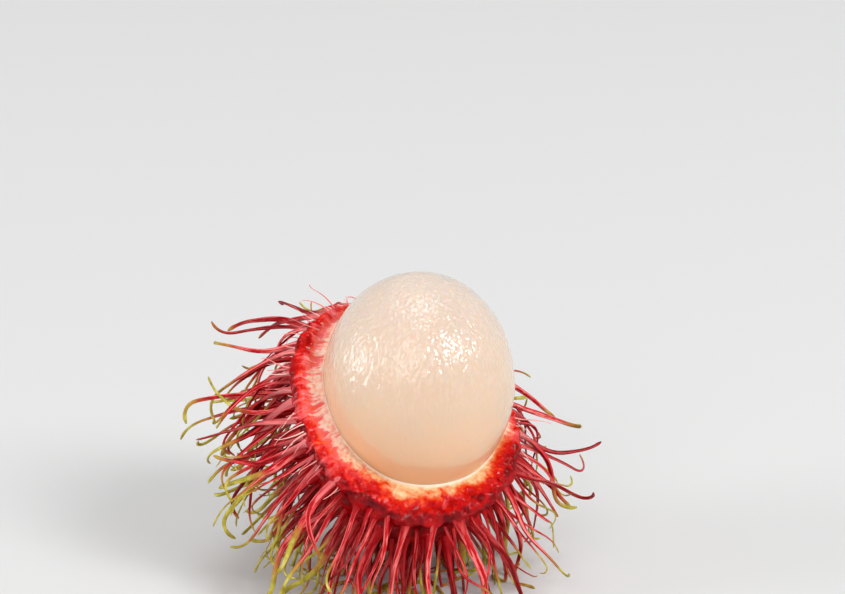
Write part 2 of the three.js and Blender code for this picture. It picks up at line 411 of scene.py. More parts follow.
def spine_line(spine):
    """A spine's line, which sinks and bends, and stays off the rind and above the surface."""
    step = spine["length"] / SPINE_STEPS
    heading = unit(spine["heading"])
    line = [spine["root"]]
    for i in range(1, SPINE_STEPS + 1):
        share = i / SPINE_STEPS
        hooking = max(0, share - HOOK_START) / (1 - HOOK_START)
        swaying = math.cos(2 * math.pi * share)
        bend = spine["curl"] - UP * spine["droop"] + spine["sway"] * swaying
        heading = unit(heading + step * (bend + spine["hook"] * hooking))
        point = keep_clear(
            line[-1] + heading * step, min(share * spine["length"], spine["radius"] + RIND_GAP)
        )
        point[2] = max(point[2], PRESSED_SHARE * spine_radius(spine, share))
        heading = unit(point - line[-1])
        line.append(point)
    return np.array(line)


# ---- Meshes ----------------------------------------------------------------------------------

def mesh_object(name, points, faces, attributes):
    mesh = bpy.data.meshes.new(name)
    mesh.from_pydata((points * MM).tolist(), [], faces)
    for key, values in attributes.items():
        if values.ndim == 2:
            mesh.attributes.new(key, "FLOAT_VECTOR", "POINT").data.foreach_set("vector", values.ravel())
        else:
            mesh.attributes.new(key, "FLOAT", "POINT").data.foreach_set("value", values)
    mesh.polygons.foreach_set("use_smooth", [True] * len(mesh.polygons))
    mesh.update()
    piece = bpy.data.objects.new(name, mesh)
    bpy.context.scene.collection.objects.link(piece)
    return piece


def skin_faces(rows, around):
    """Faces of a closed skin: an end point, rows of points, and the other end point."""
    last = 1 + rows * around
    turn = np.arange(around)
    following = (turn + 1) % around
    faces = [(0, 1 + b, 1 + a) for a, b in zip(turn.tolist(), following.tolist())]
    for row in range(rows - 1):
        lower, upper = 1 + row * around, 1 + (row + 1) * around
        quads = np.stack([lower + turn, lower + following, upper + following, upper + turn], 1)
        faces += quads.tolist()
    top = 1 + (rows - 1) * around
    faces += [(last, top + a, top + b) for a, b in zip(turn.tolist(), following.tolist())]
    return faces


# ---- The rind's cup --------------------------------------------------------------------------

# A point's zone says where on the cup it lies: from -1 in the middle of the cup's floor to 0 at
# the edge of the skin, from there to 1 across the torn face, and more than 1 inside. The bands
# below are of zones.
INSIDE_ZONE = 1.2
SKIN_END = (-0.02, 0.06)
FLESH_START, FLESH_END = (-0.07, 0.0), (0.5, 0.75)
PITH_START, PITH_END = (0.5, 0.72), (0.86, 0.93)
COLLAR_START, COLLAR_END = (-0.14, -0.02), (0.0, 0.3)
RAGGED_START, RAGGED_END = (-0.12, 0.0), (0.2, 0.85)
TURN = (-0.08, 0.25)  # where the surface turns from facing outwards to facing with the mouth
CROWN_END = 0.85
FILLET_RISE = (0.45, 1.0)
FILM_THINNING = (0.6, 0.9)
FILM_END = 0.97
LIP_RISE = (0.88, 0.95)

LIP_GAP = -0.22  # the thin white lip presses into the aril by this little
LIP_HEIGHT = 0.25  # and stands up by this where the edge isn't frayed
CROWN_HEIGHT = 0.45  # how far the torn face stands proud in its middle
CROWN_FULLNESS = 0.8  # less is flatter on top
FILLET_HEIGHT = 1.5  # where the edge is frayed, the pith climbs the aril by this
FILLET_FILM = (0.3, 0.03)  # how thick that climbing pith is, at its foot and its top
EDGE_ROUNDING = 16  # passes that round the outer corner of the torn edge
CORNER_ROWS = (10, 11)  # rows that they change, before and after the edge of the skin
COLLAR = 0.6  # how far the rind swells outwards just behind the edge
RAGGEDNESS = 0.8  # how far the torn edge's height wanders
RAGGED_SIZE = 3.4
FRAY_RAGGEDNESS = 0.6  # and by how much of this it wanders besides where it is frayed
FRAY_RAGGED_SIZE = 1.3

MOUND_HEIGHT = 0.4  # of the mound round each spine's root
MOUND_RADIUS = 1.15
CREASE_DEPTH = 0.22  # between the plates of skin that the mounds stand on
CREASE_WIDTH = 1.1
CREASE_START = (0.8, 1.6)  # how far from a root they begin
LUMP_SIZE = 1.7
GRAIN_SIZE = 0.7
SKIN_RELIEF = (0.24, 0.1)  # heights of the lumps and of the grain
FLESH_RELIEF = (0.4, 0.1)
PITH_RELIEF = (0.12, 0.07)
TEAR_STRETCH = 0.9  # millimetres that the torn face counts as across the edge, for its streaks
POINTS_AT_ONCE = 4000


def plates(points, roots):
    """Creases between the plates that the spines stand on, and a mound round each root."""
    crease = np.empty(len(points))
    mound = np.empty(len(points))
    for start in range(0, len(points), POINTS_AT_ONCE):
        part = slice(start, start + POINTS_AT_ONCE)
        gaps = np.linalg.norm(points[part][:, None] - roots[None], axis=-1)
        nearest, second = np.partition(gaps, 1, axis=1)[:, :2].T
        between = 1 - smooth_step(0.0, CREASE_WIDTH, second - nearest)
        crease[part] = between * smooth_step(*CREASE_START, nearest)
        mound[part] = np.exp(-((nearest / MOUND_RADIUS) ** 2))
    return crease, mound


def torn_face(skin_edge, azimuth, across):
    """Rows of points from the edge of the skin to the lip that touches the aril."""
    lip_body = (ARIL_CENTRE, (ARIL_HALF[0] + LIP_GAP, ARIL_HALF[1] + LIP_GAP))
    lip = surface_point(lip_body, direction(polar_at_mouth(lip_body, azimuth), azimuth))
    frayed = fray(azimuth)
    crown = CROWN_HEIGHT * np.sin(np.pi * np.clip(across / CROWN_END, 0, 1)) ** CROWN_FULLNESS
    ridge = LIP_HEIGHT * smooth_step(*LIP_RISE, across)[:, None] * (1 - frayed)
    ridge = ridge + FILLET_HEIGHT * smooth_step(*FILLET_RISE, across)[:, None] * frayed
    face = skin_edge + across[:, None, None] * (lip - skin_edge)
    face = face + (crown[:, None] + ridge)[..., None] * MOUTH_AXIS

    # The pith that climbs the aril is lifted off it by its own thickness.
    film = FILLET_FILM[0] + (FILLET_FILM[1] - FILLET_FILM[0]) * smooth_step(*FILM_THINNING, across)
    level = level_in(ARIL_HALF, face - ARIL_CENTRE)
    lift = np.maximum(1 + film[:, None] / ARIL_HALF[0] - level, 0) * frayed
    lift = lift * (across < FILM_END)[:, None]
    return face + (face - ARIL_CENTRE) * (lift / level)[..., None]


def plain_cup(azimuth):
    """Rows of points over the skin, across the torn face and down the inside, and their zones."""
    outer_polar = polar_at_mouth(FRUIT, azimuth)
    outer_shares = np.linspace(0, 1, CUP_OUTER_ROWS + 1)[1:]
    outer = np.array([surface_point(FRUIT, direction(s * outer_polar, azimuth)) for s in outer_shares])
    across = np.linspace(0, 1, CUP_RIM_ROWS + 1)[1:]
    face = torn_face(outer[-1], azimuth, across)
    inner_polar = polar_at_mouth(CAVITY, azimuth)
    inner_shares = np.linspace(1, 0, CUP_INNER_ROWS + 1)[1:-1]
    inner = np.array([surface_point(CAVITY, direction(s * inner_polar, azimuth)) for s in inner_shares])

    rows = np.concatenate([outer, face, inner])
    corner = np.arange(CUP_OUTER_ROWS - CORNER_ROWS[0], CUP_OUTER_ROWS + CORNER_ROWS[1])
    for _ in range(EDGE_ROUNDING):
        rows[corner] = 0.5 * rows[corner] + 0.25 * (rows[corner - 1] + rows[corner + 1])
    return rows, np.concatenate([outer_shares - 1, across, np.full(len(inner), INSIDE_ZONE)])


def cup_relief(rows, zones, crease, mound):
    """How far each point of the cup stands out of its plain surface."""
    lumps = noise(rows, LUMP_SIZE, seed=11, octaves=2)
    grain = noise(rows, GRAIN_SIZE, seed=23)
    skin = 1 - smooth_step(*SKIN_END, zones)
    flesh = band(FLESH_START, FLESH_END, zones)
    pith = band(PITH_START, PITH_END, zones)
    height = skin * (MOUND_HEIGHT * mound - CREASE_DEPTH * crease)
    for share, (lump_height, grain_height) in (
        (skin, SKIN_RELIEF), (flesh, FLESH_RELIEF), (pith, PITH_RELIEF)
    ):
        height += share * (lump_height * lumps + grain_height * grain)
    height += COLLAR * band(COLLAR_START, COLLAR_END, zones)
    return height * (zones <= 1)


def column(grid, first, last):
    """A grid's values in one list, between those of the skin's two end points."""
    return np.concatenate([[first], grid.reshape(-1, *grid.shape[2:]), [last]])


def cup(spines):
    azimuth = np.linspace(0, 2 * math.pi, CUP_AROUND, endpoint=False)
    rows, zone = plain_cup(azimuth)
    zones = np.repeat(zone[:, None], CUP_AROUND, axis=1)

    skin_points = rows[:CUP_OUTER_ROWS].reshape(-1, 3)
    grids = np.zeros((2, *zones.shape))
    for grid, values in zip(grids, plates(skin_points, np.array([s["root"] for s in spines]))):
        grid[:CUP_OUTER_ROWS] = values.reshape(CUP_OUTER_ROWS, CUP_AROUND)
    crease, mound = grids

    turned = smooth_step(*TURN, zones)[..., None]
    normal = unit(surface_normal(FRUIT, rows) * (1 - turned) + MOUTH_AXIS * turned)
    rows = rows + normal * cup_relief(rows, zones, crease, mound)[..., None]

    ragged = noise(rows, RAGGED_SIZE, seed=31, octaves=2)
    ragged = ragged + FRAY_RAGGEDNESS * fray(azimuth) * noise(rows, FRAY_RAGGED_SIZE, seed=37)
    ragged = RAGGEDNESS * band(RAGGED_START, RAGGED_END, zones) * ragged
    rows = rows + MOUTH_AXIS * ragged[..., None]

    # Where a point lies round the edge and, drawn together, across it, for the torn streaks.
    tear = np.stack([
        np.broadcast_to(FRUIT_HALF[0] * np.cos(azimuth), zones.shape),
        np.broadcast_to(FRUIT_HALF[0] * np.sin(azimuth), zones.shape),
        TEAR_STRETCH * zones,
    ], axis=-1)

    floor_out = surface_point(FRUIT, direction(0.0, 0.0))
    floor_in = surface_point(CAVITY, direction(0.0, 0.0))
    points = column(rows, floor_out, floor_in)
    return mesh_object("rind_cup", points, skin_faces(len(rows), CUP_AROUND), {
        "zone": column(zones, -1, INSIDE_ZONE),
        "crease": column(crease, 0, 0),
        "mound": column(mound, 0, 0),
        "tear": column(tear, np.zeros(3), np.zeros(3)),
        "fray": column(np.broadcast_to(fray(azimuth), zones.shape), 0, 0),
    })


# ---- The spines ------------------------------------------------------------------------------

SPINE_RIBS = 3
RIB_DEPTH = 0.15  # over the radius
SPINE_FLATNESS = 0.66  # a section's thickness over its width
SPINE_TWIST = 1.8  # radians, at most, either way
LINE_WANDER = 0.32  # how far the line wavers besides its bends
LINE_WANDER_SIZE = 4.0
WIDTH_WANDER = 0.15  # how far the width wavers, over itself
WIDTH_WANDER_SIZE = 2.6
WAIST = 0.22  # how much thinner the outer half is than a plain taper
KNOB = 0.16  # how much thicker than that it is again behind the tip

# Shares of a spine's length over which these set in.
LINE_WANDER_START = (0.05, 0.3)
WAIST_START = (0.3, 0.85)
KNOB_START = (0.9, 0.97)
FLATNESS_START = (0.0, 0.12)

TIP_WIDTHS = (0.95, 0.78, 0.42)  # how much the last three rings draw in
TIP_HEIGHT = 0.4  # of the blunt end, over its width
LOWEST_RING = 0.02  # nothing of a spine is nearer the surface than this
LOWEST_TIP = 0.03
STREAK_STRETCH = 0.12  # how much slower the skin's streaks change along a spine than across it
LINE_SHIFT = 40  # a spine's noise is shifted by up to this, so that no two are alike
STREAK_SHIFT = 50  # and so are its streaks
WIDTH_SHIFT = 9.0  # keeps the noise of all widths apart from that of the lines
SPINE_ATTRIBUTES = ("grain", "share", "rib", "tint", "ripe", "shade", "pale")


def finer(line):
    """A line with one more point in each gap, on a smooth curve through its points."""
    ends = np.concatenate([[2 * line[0] - line[1]], line, [2 * line[-1] - line[-2]]])
    middle = (9 * (ends[1:-2] + ends[2:-1]) - ends[:-3] - ends[3:]) / 16
    out = np.empty((2 * len(line) - 1, 3))
    out[0::2] = line
    out[1::2] = middle
    return out


def spine_shaft(spine, draw):
    """The middles of a spine's rings, how far along it they are, and its half widths there."""
    line = finer(spine_line(spine))
    share = np.linspace(0, 1, len(line))
    waver = noise(line + LINE_SHIFT * draw(-1, 1), LINE_WANDER_SIZE, seed=51)[:, None]
    waver = waver * unit(spine["curl"] + 1e-6)
    line = line + LINE_WANDER * waver * smooth_step(*LINE_WANDER_START, share)[:, None]

    sunk = spine["root"] - surface_normal(FRUIT, spine["root"]) * ROOT_SINK
    middles = np.concatenate([[sunk], line])
    shares = np.concatenate([[0.0], share])
    waver = noise(middles + WIDTH_SHIFT, WIDTH_WANDER_SIZE, seed=77)
    width = spine_radius(spine, shares) * (1 + WIDTH_WANDER * waver)
    width *= 1 - WAIST * smooth_step(*WAIST_START, shares) + KNOB * smooth_step(*KNOB_START, shares)
    width[-len(TIP_WIDTHS):] *= TIP_WIDTHS
    middles[:, 2] = np.maximum(middles[:, 2], PRESSED_SHARE * SPINE_FLATNESS * width)
    return middles, shares, width


def spine_mesh(spine, draw):
    """Points and attributes of one spine: a ribbed strap that tapers to a blunt tip."""
    middles, shares, width = spine_shaft(spine, draw)
    twist = draw(-SPINE_TWIST, SPINE_TWIST)
    phase = draw(0, 2 * math.pi)
    side = unit(np.cross(surface_normal(FRUIT, spine["root"]), LONG_AXIS))
    angles = np.linspace(0, 2 * math.pi, SPINE_SIDES, endpoint=False)
    rib = np.cos(SPINE_RIBS * angles)
    reach = np.concatenate([[0], np.cumsum(np.linalg.norm(np.diff(middles, axis=0), axis=1))])
    rings = []
    grains = []
    for i, middle in enumerate(middles):
        before, after = middles[max(0, i - 1)], middles[min(len(middles) - 1, i + 1)]
        along = unit(after - before)
        side = unit(side - along * (side @ along))
        turned = phase + twist * shares[i]
        across = np.cross(along, side)
        wide = math.cos(turned) * side + math.sin(turned) * across
        thin = -math.sin(turned) * side + math.cos(turned) * across
        flat = 1 - (1 - SPINE_FLATNESS) * smooth_step(*FLATNESS_START, shares[i])
        radius = width[i] * (1 + RIB_DEPTH * rib)
        rings.append(
            middle
            + (radius * np.cos(angles))[:, None] * wide
            + (radius * flat * np.sin(angles))[:, None] * thin
        )
        grains.append(np.stack([
            spine["radius"] * np.cos(angles),
            spine["radius"] * np.sin(angles),
            np.full(SPINE_SIDES, STREAK_STRETCH * reach[i]),
        ], axis=-1))
    rings = np.array(rings)
    rings[..., 2] = np.maximum(rings[..., 2], LOWEST_RING)
    tip = middles[-1] + unit(middles[-1] - middles[-2]) * TIP_HEIGHT * width[-1]
    tip[2] = max(tip[2], LOWEST_TIP)
    points = column(rings, middles[0], tip)
    grains = column(np.array(grains), grains[0][0], grains[-1][0])
    return points, {
        "grain": grains + STREAK_SHIFT * draw(0, 1),
        "share": np.concatenate([[0], np.repeat(shares, SPINE_SIDES), [1]]),
        "rib": np.concatenate([[0], np.tile(rib, len(middles)), [0]]),
        "tint": np.full(len(points), draw(0, 1)),
        "ripe": np.full(len(points), draw(0, 1)),
        "shade": np.full(len(points), spine["shade"], dtype=float),
        "pale": np.full(len(points), spine["pale"], dtype=float),
    }


def spines_object(name, spines, seed):
    draw = lottery(seed)
    points, faces = [], []
    columns = {key: [] for key in SPINE_ATTRIBUTES}
    base = 0
    for spine in spines:
        spine_points, attributes = spine_mesh(spine, draw)
        rows = (len(spine_points) - 2) // SPINE_SIDES
        faces += [[base + k for k in face] for face in skin_faces(rows, SPINE_SIDES)]
        points.append(spine_points)
        for key, values in attributes.items():
            columns[key].append(values)
        base += len(spine_points)
    columns = {key: np.concatenate(values) for key, values in columns.items()}
    return mesh_object(name, np.concatenate(points), faces, columns)


# ---- The aril --------------------------------------------------------------------------------

SWELL_HEIGHT = 0.07
SWELL_SIZE = 6.0
RIPPLE_HEIGHT = 0.02
RIPPLE_SIZE = 1.1
ARIL_INSET = 0.06  # from the CAD model's aril, to leave room for the swells
RIND_SHADE_REACH = (-3, 13)  # heights above the mouth between which the painted shade of the rind fades


def aril():
    azimuth = np.linspace(0, 2 * math.pi, ARIL_AROUND, endpoint=False)
    shares = np.linspace(0, 1, ARIL_ROWS + 2)[1:-1]
    rows = np.array([surface_point(ARIL, direction(s * math.pi, azimuth)) for s in shares])
    swell = SWELL_HEIGHT * noise(rows, SWELL_SIZE, seed=5, octaves=2)
    ripple = RIPPLE_HEIGHT * noise(rows, RIPPLE_SIZE, seed=6)
    rows = rows + surface_normal(ARIL, rows) * (swell + ripple - ARIL_INSET)[..., None]
    foot = surface_point(ARIL, direction(0.0, 0.0))
    top = surface_point(ARIL, direction(math.pi, 0.0))
    points = column(rows, foot, top)
    above_mouth = (points - ARIL_CENTRE) @ MOUTH_AXIS - MOUTH_OFFSET
    return mesh_object("aril_flesh", points, skin_faces(ARIL_ROWS, ARIL_AROUND), {
        "height": (points[:, 2] - ARIL_CENTRE[2]) / (2 * ARIL_HALF[1]) + 0.5,
        "nearness": 1 - smooth_step(*RIND_SHADE_REACH, above_mouth),
    })


# ---- Materials -------------------------------------------------------------------------------

def linear(r, g, b):
    """A colour given as on a screen, 0 to 255, in the renderer's linear light."""
    return tuple(
        c / 255 / 12.92 if c / 255 <= 0.04045 else ((c / 255 + 0.055) / 1.055) ** 2.4
        for c in (r, g, b)
    ) + (1.0,)


class Nodes:
    """A material's nodes, made and joined by short calls. Colours are given as on a screen."""

    def __init__(self, name):
        self.material = bpy.data.materials.new(name)
        self.material.use_nodes = True
        self.tree = self.material.node_tree
        self.shader = self.tree.nodes["Principled BSDF"]

    def make(self, kind, **settings):
        node = self.tree.nodes.new(kind)
        for key, value in settings.items():
            setattr(node, key, value)
        return node

    def join(self, source, target):
        self.tree.links.new(source, target)

    def feed(self, value, socket):
        """Give a socket a number, a colour, or what another node puts out."""
        if isinstance(value, bpy.types.NodeSocket):
            self.join(value, socket)
        else:
            socket.default_value = linear(*value) if isinstance(value, tuple) else value

    def attribute(self, name, output="Fac"):
        return self.make("ShaderNodeAttribute", attribute_name=name).outputs[output]

    def object_place(self, scale=(1, 1, 1)):
        """Where a point is in the object, in metres, stretched by a scale."""
        mapping = self.make("ShaderNodeMapping")
        mapping.inputs["Scale"].default_value = scale
        self.join(self.make("ShaderNodeTexCoord").outputs["Object"], mapping.inputs["Vector"])
        return mapping.outputs["Vector"]

    def noise_over(self, place, scale, detail, distortion=0.0):
        node = self.make("ShaderNodeTexNoise")
        node.inputs["Scale"].default_value = scale
        node.inputs["Detail"].default_value = detail
        node.inputs["Distortion"].default_value = distortion
        self.join(place, node.inputs["Vector"])
        return node.outputs["Fac"]

    def noise(self, size_mm, detail):
        return self.noise_over(self.object_place(), 1 / (size_mm * MM), detail)

    def streaks(self, name, size_mm, detail):
        """Noise over a vector attribute that is given in millimetres."""
        return self.noise_over(self.attribute(name, "Vector"), 1 / size_mm, detail)

    def ramp(self, value, *stops):
        """A number or a colour that goes from stop to stop, each a place and what it is there."""
        node = self.make("ShaderNodeValToRGB")
        elements = node.color_ramp.elements
        while len(elements) < len(stops):
            elements.new(0.5)
        for element, (place, stop) in zip(elements, stops):
            element.position = place
            element.color = linear(*stop) if isinstance(stop, tuple) else (stop, stop, stop, 1)
        self.join(value, node.inputs["Fac"])
        return node.outputs["Color"]

    def maths(self, operation, *values):
        node = self.make("ShaderNodeMath", operation=operation)
        for value, socket in zip(values, node.inputs):
            self.feed(value, socket)
        return node.outputs[0]

    def times(self, first, second):
        return self.maths("MULTIPLY", first, second)

    def plus(self, base, value, share=1.0):
        """The base, and a share of the value on top."""
        return self.maths("MULTIPLY_ADD", value, share, base)

    def mix(self, share, first, second, blend="MIX"):
        """A mix of two colours. Its sockets go by number, as other kinds share their names."""
        node = self.make("ShaderNodeMix", data_type="RGBA", blend_type=blend)
        factor, a, b = node.inputs[0], node.inputs[6], node.inputs[7]
        for value, socket in ((share, factor), (first, a), (second, b)):
            self.feed(value, socket)
        return node.outputs[2]

    def bump(self, height, depth_mm):
        node = self.make("ShaderNodeBump")
        node.inputs["Distance"].default_value = depth_mm * MM
        self.join(height, node.inputs["Height"])
        return node.outputs["Normal"]

    def finish(self, colour, normal=None, film=None, **constants):
        """Join up the shader. `film` is the normal of the wet coat, where it has its own.

        `subsurface_scale` is how far light travels under the surface, in metres, and
        `subsurface_radius` how far each colour of it does, over that.
        """
        self.join(colour, self.shader.inputs["Base Color"])
        if normal is not None:
            self.join(normal, self.shader.inputs["Normal"])
            self.join(film or normal, self.shader.inputs["Coat Normal"])
        for name, value in constants.items():
            socket = name.replace("_", " ").title().replace("Ior", "IOR")
            self.shader.inputs[socket].default_value = value
        return self.material


def rind_material():
    """Red skin, and across the torn face red flesh that gives way to pale pith."""
    nodes = Nodes("rind_skin_and_pith")
    zone = nodes.attribute("zone")
    frayed = nodes.attribute("fray")
    blotch = nodes.noise(3.2, 3)
    grain = nodes.noise(0.6, 2)
    lumps = nodes.plus(-0.5, nodes.noise(1.3, 2))
    lobes = nodes.plus(-0.5, nodes.noise(4.5, 1))
    threads = nodes.plus(-0.5, nodes.streaks("tear", 0.6, 3))
    speck = nodes.ramp(nodes.noise(0.8, 1), (0.72, 0.0), (0.78, 0.85))

    skin = nodes.ramp(blotch, (0.3, (80, 0, 6)), (0.5, (138, 2, 10)), (0.72, (190, 12, 18)))
    # painted light and shade: the mounds round the roots are painted brighter, the creases darker
    skin = nodes.mix(nodes.times(nodes.attribute("mound"), 0.35), skin, (212, 22, 26))
    skin = nodes.mix(nodes.times(nodes.attribute("crease"), 0.5), skin, (74, 2, 8))
    skin = nodes.mix(speck, skin, (48, 14, 8))

    # The flesh goes from deep red at the skin through bright red to orange at the pith.
    place = nodes.plus(zone, lumps, 1.1)
    place = nodes.plus(place, frayed, 0.36)
    place = nodes.plus(place, lobes, 0.7)
    flesh = nodes.ramp(
        place, (0.0, (120, 0, 4)), (0.2, (188, 2, 6)), (0.48, (216, 26, 10)), (0.66, (238, 92, 42))
    )
    flesh = nodes.mix(nodes.ramp(grain, (0.6, 0.0), (0.8, 0.4)), flesh, (248, 84, 74))
    flesh = nodes.mix(nodes.times(speck, 0.8), flesh, (72, 8, 8))

    # The pith is yellowish, and pinker where the edge is frayed.
    yellow = nodes.ramp(grain, (0.3, (236, 166, 104)), (0.5, (242, 198, 144)), (0.75, (248, 222, 182)))
    pink = nodes.ramp(grain, (0.3, (255, 160, 140)), (0.5, (255, 204, 180)), (0.75, (255, 226, 206)))
    pinkness = nodes.plus(nodes.plus(-0.3, frayed), blotch, 0.6)
    pith = nodes.mix(pinkness, yellow, pink)

    # The red gives way to the pale pith along a ragged line. Where the edge is frayed, pale
    # threads of pith run out over the red, and the red beside them is pinkish.
    ragged = nodes.plus(zone, lumps, 0.7)
    ragged = nodes.plus(ragged, threads, nodes.plus(0.25, frayed, 1.3))
    ragged = nodes.plus(ragged, nodes.times(nodes.plus(-0.39, blotch), frayed), 1.5)
    ragged = nodes.plus(ragged, lobes, 0.9)
    colour = nodes.mix(nodes.ramp(zone, (0.0, 0.0), (0.06, 1.0)), skin, flesh)
    blush = nodes.times(nodes.ramp(ragged, (0.2, 0.0), (0.56, 0.85)), frayed)
    colour = nodes.mix(blush, colour, (246, 108, 112))
    colour = nodes.mix(nodes.ramp(ragged, (0.63, 0.0), (0.86, 1.0)), colour, pith)
    lip = nodes.times(nodes.ramp(zone, (0.88, 0.0), (0.93, 1.0)), nodes.ramp(frayed, (0.0, 1.0), (1.0, 0.4)))
    colour = nodes.mix(lip, colour, (250, 230, 208))

    relief = nodes.plus(nodes.noise(0.8, 2), threads, 0.6)
    return nodes.finish(
        colour, nodes.bump(relief, 0.25), roughness=0.42, specular_ior_level=0.0,
        subsurface_weight=0.12, subsurface_radius=(1.0, 0.25, 0.12), subsurface_scale=0.0008,
        coat_weight=0.35, coat_roughness=0.12,
    )


def spine_material():
    """Red with fine streaks and ridges painted pale as a highlight, turning yellow-green towards the tip."""
    nodes = Nodes("spine_skin")
    share = nodes.attribute("share")
    tint = nodes.attribute("tint")
    ripe = nodes.attribute("ripe")
    shade = nodes.attribute("shade")
    cloud = nodes.noise(1.6, 3)
    streak = nodes.streaks("grain", 0.32, 2)

    deep = nodes.ramp(tint, (0.0, (104, 0, 6)), (0.35, (156, 0, 8)), (1.0, (200, 10, 24)))
    light = nodes.ramp(tint, (0.0, (192, 30, 36)), (0.4, (246, 80, 84)), (1.0, (255, 146, 142)))
    # painted highlight: the ribs' ridges are painted lighter, besides random clouds and streaks
    ridge = nodes.plus(cloud, nodes.attribute("rib"), 0.4)
    ridge = nodes.plus(ridge, nodes.plus(-0.5, streak), 2.8)
    red = nodes.mix(nodes.ramp(ridge, (0.34, 0.0), (0.78, 1.0)), deep, light)
    # painted shade: spines rooted further from the edge, under the fruit, are painted darker
    red = nodes.mix(nodes.times(shade, 0.55), red, (120, 0, 10))

    # A few spines are dry, and brown from a little above the root on.
    dry = nodes.times(nodes.ramp(ripe, (0.8, 0.0), (0.88, 0.6)), nodes.ramp(share, (0.15, 0.2), (0.5, 1.0)))
    red = nodes.mix(dry, red, (92, 14, 14))

    # Where a spine turns from red over orange to yellow-green differs from spine to spine.
    green = nodes.ramp(cloud, (0.3, (146, 130, 40)), (0.55, (186, 174, 66)), (0.75, (220, 210, 120)))
    turn = nodes.ramp(ripe, (0.0, 0.3), (0.07, 0.58), (0.5, 0.76), (0.85, 0.92), (1.0, 1.2))
    past_turn = nodes.maths("SUBTRACT", nodes.plus(share, cloud, 0.16), turn)
    past_turn = nodes.plus(past_turn, shade, 0.2)
    colour = nodes.mix(nodes.ramp(past_turn, (0.0, 0.0), (0.12, 0.9)), red, (184, 92, 56))
    colour = nodes.mix(nodes.ramp(past_turn, (0.07, 0.0), (0.26, 1.0)), colour, green)

    # The root is as red as the skin that it grows from, and pale where that is torn.
    colour = nodes.mix(nodes.ramp(share, (0.0, 1.0), (0.05, 0.8), (0.24, 0.0)), colour, (178, 4, 14))
    torn = nodes.times(nodes.attribute("pale"), nodes.ramp(share, (0.0, 0.8), (0.12, 0.5), (0.35, 0.0)))
    colour = nodes.mix(torn, colour, (248, 158, 160))
    return nodes.finish(
        colour, nodes.bump(streak, 0.14), roughness=0.42, specular_ior_level=0.0,
        subsurface_weight=0.08, subsurface_radius=(1.0, 0.3, 0.2), subsurface_scale=0.0005,
        coat_weight=0.3, coat_roughness=0.22,
    )


def fibre_material():
    nodes = Nodes("torn_fibre")
    tint = nodes.attribute("tint")
    colour = nodes.ramp(tint, (0.0, (226, 70, 80)), (0.5, (244, 140, 136)), (0.9, (250, 204, 192)))
    return nodes.finish(
        colour, roughness=0.45, specular_ior_level=0.3,
        subsurface_weight=0.15, subsurface_radius=(1.0, 0.4, 0.3), subsurface_scale=0.0005,
    )


WRINKLE_SIZE = 0.5  # of the fine wrinkles in the aril's wet skin
WRINKLE_DEPTH = 0.12  # as the flesh shows them
FILM_DEPTH = 0.18  # as the wet film over it does


def aril_material():
    """Pale, glowing flesh under a wet skin, painted darker and warmer towards the rind as painted shade."""
    nodes = Nodes("aril_flesh")
    height = nodes.attribute("height")
    # partly painted light: warmer towards the bottom, for the rind's red light; partly its own tone
    place = nodes.plus(height, nodes.plus(-0.5, nodes.noise(7.0, 2)), 0.25)
    colour = nodes.ramp(place, (0.1, (242, 194, 154)), (0.5, (222, 193, 166)), (0.92, (217, 197, 181)))
    # painted shade: the flesh is painted darker and warmer near the rind
    colour = nodes.mix(nodes.attribute("nearness"), colour, (243, 234, 215), "MULTIPLY")

    # The skin is finely wrinkled along its length, more so towards the top, and towards the top
    # the crests of the wrinkles are painted whiter, as painted glints.
    lengthwise = nodes.object_place((1, 1, 0.5))
    wrinkles = nodes.noise_over(lengthwise, 1 / (WRINKLE_SIZE * MM), 0, distortion=0.5)
    wetness = nodes.ramp(height, (0.3, 0.2), (0.5, 0.65), (0.66, 1.0))
    painted_glints = nodes.times(
        nodes.ramp(wrinkles, (0.48, 0.0), (0.66, 1.0)), nodes.ramp(height, (0.45, 0.0), (0.7, 0.12))
    )
    # painted glints: near-white crests of the wrinkles towards the top
    colour = nodes.mix(painted_glints, colour, (252, 242, 234))
    relief = nodes.times(nodes.plus(wrinkles, nodes.noise(1.5, 2), 0.6), wetness)
    return nodes.finish(
        colour, nodes.bump(relief, WRINKLE_DEPTH), film=nodes.bump(relief, FILM_DEPTH),
        roughness=0.5, specular_ior_level=0.1,
        subsurface_weight=0.8, subsurface_radius=(1.0, 0.62, 0.38), subsurface_scale=0.004,
        coat_weight=0.9, coat_roughness=0.05, coat_ior=1.6,
    )


# ---- Pieces ----------------------------------------------------------------------------------

main = grow_spines(SPINE_PLACES, SPINE_SEED) + [middle_spine()]
between = grow_between(main, **BETWEEN)
fine = grow_between(main + between, **FINE)
fibres = grow_fibres()

spine_skin = spine_material()

for piece, material, node in (
    (cup(main + between), rind_material(), "rind"),
    (spines_object("spines_main", main, SPINE_SEED), spine_skin, "rind"),
    (spines_object("spines_between", between, BETWEEN["seed"]), spine_skin, "rind"),
    (spines_object("spines_fine", fine, FINE["seed"]), spine_skin, "rind"),
    (spines_object("torn_fibres", fibres, FIBRE_SEED), fibre_material(), "rind"),
    (aril(), aril_material(), "aril"),
):
    piece.data.materials.append(material)
    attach(piece, "root")
    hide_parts(node)


# ---- Camera ----------------------------------------------------------------------------------

IMAGE_SIZE = (845, 594)
ARIL_PIXEL = (418.4, 382.5)  # where the middle of the aril is in the photograph
PIXELS_PER_MM = 6.77
CAMERA_ELEVATION = math.radians(18)
CAMERA_DISTANCE = 0.5
SENSOR_WIDTH = 36.0


